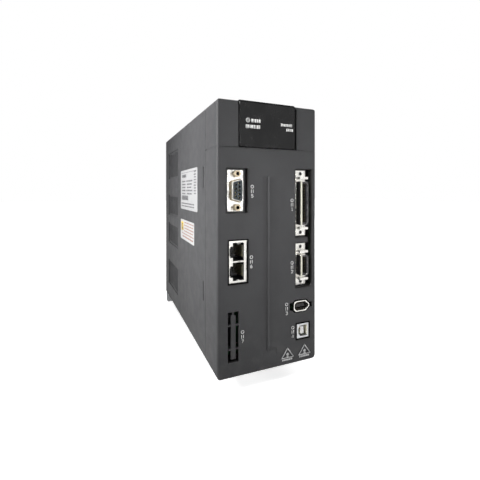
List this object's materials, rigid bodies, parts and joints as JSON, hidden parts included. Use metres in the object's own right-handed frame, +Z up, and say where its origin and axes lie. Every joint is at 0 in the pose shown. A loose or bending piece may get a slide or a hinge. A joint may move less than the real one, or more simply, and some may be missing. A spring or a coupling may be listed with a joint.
{
  "type": "servo drive",
  "caption": "Tall narrow panel-mounted motor controller with a dark grey case, a black hinged display door, front sockets, side vents, heatsink, fan and mounting ears.",
  "frame": {"origin": "centre of the case's height and width on the rear mounting face", "axes": "+Z up, +Y into the cabinet wall, so the front faces -Y, +X to the right seen from the front"},
  "size_m": [0.086, 0.2049, 0.2292],
  "materials": {
    "case_plastic": "dark grey moulded, fine texture",
    "door_plastic": "black, polished",
    "panel_plastic": "satin",
    "key_plastic": "satin",
    "display_red": "dark red filter",
    "led_red": "clear red",
    "circuit_board": "green solder mask",
    "bright_steel": "nickel plated",
    "usb_shell_metal": "tin plated",
    "fastener_steel": "zinc plated",
    "plate_steel": "zinc plated sheet",
    "black_resin": "black moulded",
    "grey_resin": "dark grey moulded",
    "white_resin": "white moulded",
    "heatsink_aluminium": "extruded, machined face",
    "standoff_brass": "turned",
    "fan_plastic": "black moulded",
    "capacitor_sleeve": "shrink sleeve",
    "module_resin": "filled resin",
    "thermal_film": "soft pad",
    "relay_blue": "moulded case",
    "ferrite": "sintered and wound",
    "terminal_green": "green moulded",
    "label_film": "printed film"
  },
  "bodies": {
    "case": {"main_case": "case_plastic", "front_cover": "case_plastic", "top_bezel": "case_plastic", "keypad_panel": "panel_plastic", "display_module": "display_red", "charge_led": "led_red", "key_board": "circuit_board", "control_board": "circuit_board", "power_board": "circuit_board", "supply_board": "circuit_board", "dsub_shell": "bright_steel", "rj45_shield": "bright_steel", "mdr50_shell": "bright_steel", "mdr20_shell": "bright_steel", "firewire_shell": "bright_steel", "usb_shell": "usb_shell_metal", "door_pins": "fastener_steel", "dsub_jackscrews": "fastener_steel", "plate_screws": "fastener_steel", "fan_screws": "fastener_steel", "module_screws": "fastener_steel", "board_screws": "fastener_steel", "back_plate": "plate_steel", "dsub_insert": "black_resin", "rj45_housing": "black_resin", "firewire_insert": "black_resin", "expansion_header": "black_resin", "key_switches": "black_resin", "current_sensors": "black_resin", "mdr50_insert": "grey_resin", "mdr20_insert": "grey_resin", "usb_insert": "white_resin", "heatsink": "heatsink_aluminium", "board_standoffs": "standoff_brass", "sink_standoffs": "standoff_brass", "ground_screws": "standoff_brass", "fan_frame": "fan_plastic", "fan_guard": "fan_plastic", "bus_capacitors": "capacitor_sleeve", "igbt_module": "module_resin", "rectifier_module": "module_resin", "thermal_pads": "thermal_film", "inrush_relay": "relay_blue", "emi_choke": "ferrite", "supply_transformer": "ferrite", "power_header": "terminal_green", "power_plug": "terminal_green", "motor_header": "terminal_green", "motor_plug": "terminal_green", "regen_header": "terminal_green", "regen_plug": "terminal_green", "nameplate": "label_film", "rating_label": "label_film"},
    "door": {"display_door": "door_plastic"},
    "fan": {"fan_rotor": "fan_plastic"},
    "key_mode": {"key_mode": "key_plastic"},
    "key_shift": {"key_shift": "key_plastic"},
    "key_up": {"key_up": "key_plastic"},
    "key_down": {"key_down": "key_plastic"},
    "key_set": {"key_set": "key_plastic"}
  },
  "joints": [
    {"name": "door_hinge", "type": "hinge", "parent": "case", "child": "door", "pos_m": [-0.0015, -0.196, 0.0991], "axis": [-1, 0, 0], "range_deg": [0, 105]},
    {"name": "fan_spin", "type": "hinge", "parent": "case", "child": "fan", "pos_m": [0, -0.042, -0.092], "axis": [0, 0, 1], "continuous": true},
    {"name": "key_mode_press", "type": "slide", "parent": "case", "child": "key_mode", "axis": [0, 1, 0], "range_m": [0, 0.0008], "stiffness_N_per_m": 600},
    {"name": "key_shift_press", "type": "slide", "parent": "case", "child": "key_shift", "axis": [0, 1, 0], "range_m": [0, 0.0008], "stiffness_N_per_m": 600},
    {"name": "key_up_press", "type": "slide", "parent": "case", "child": "key_up", "axis": [0, 1, 0], "range_m": [0, 0.0008], "stiffness_N_per_m": 600},
    {"name": "key_down_press", "type": "slide", "parent": "case", "child": "key_down", "axis": [0, 1, 0], "range_m": [0, 0.0008], "stiffness_N_per_m": 600},
    {"name": "key_set_press", "type": "slide", "parent": "case", "child": "key_set", "axis": [0, 1, 0], "range_m": [0, 0.0008], "stiffness_N_per_m": 600}
  ]
}
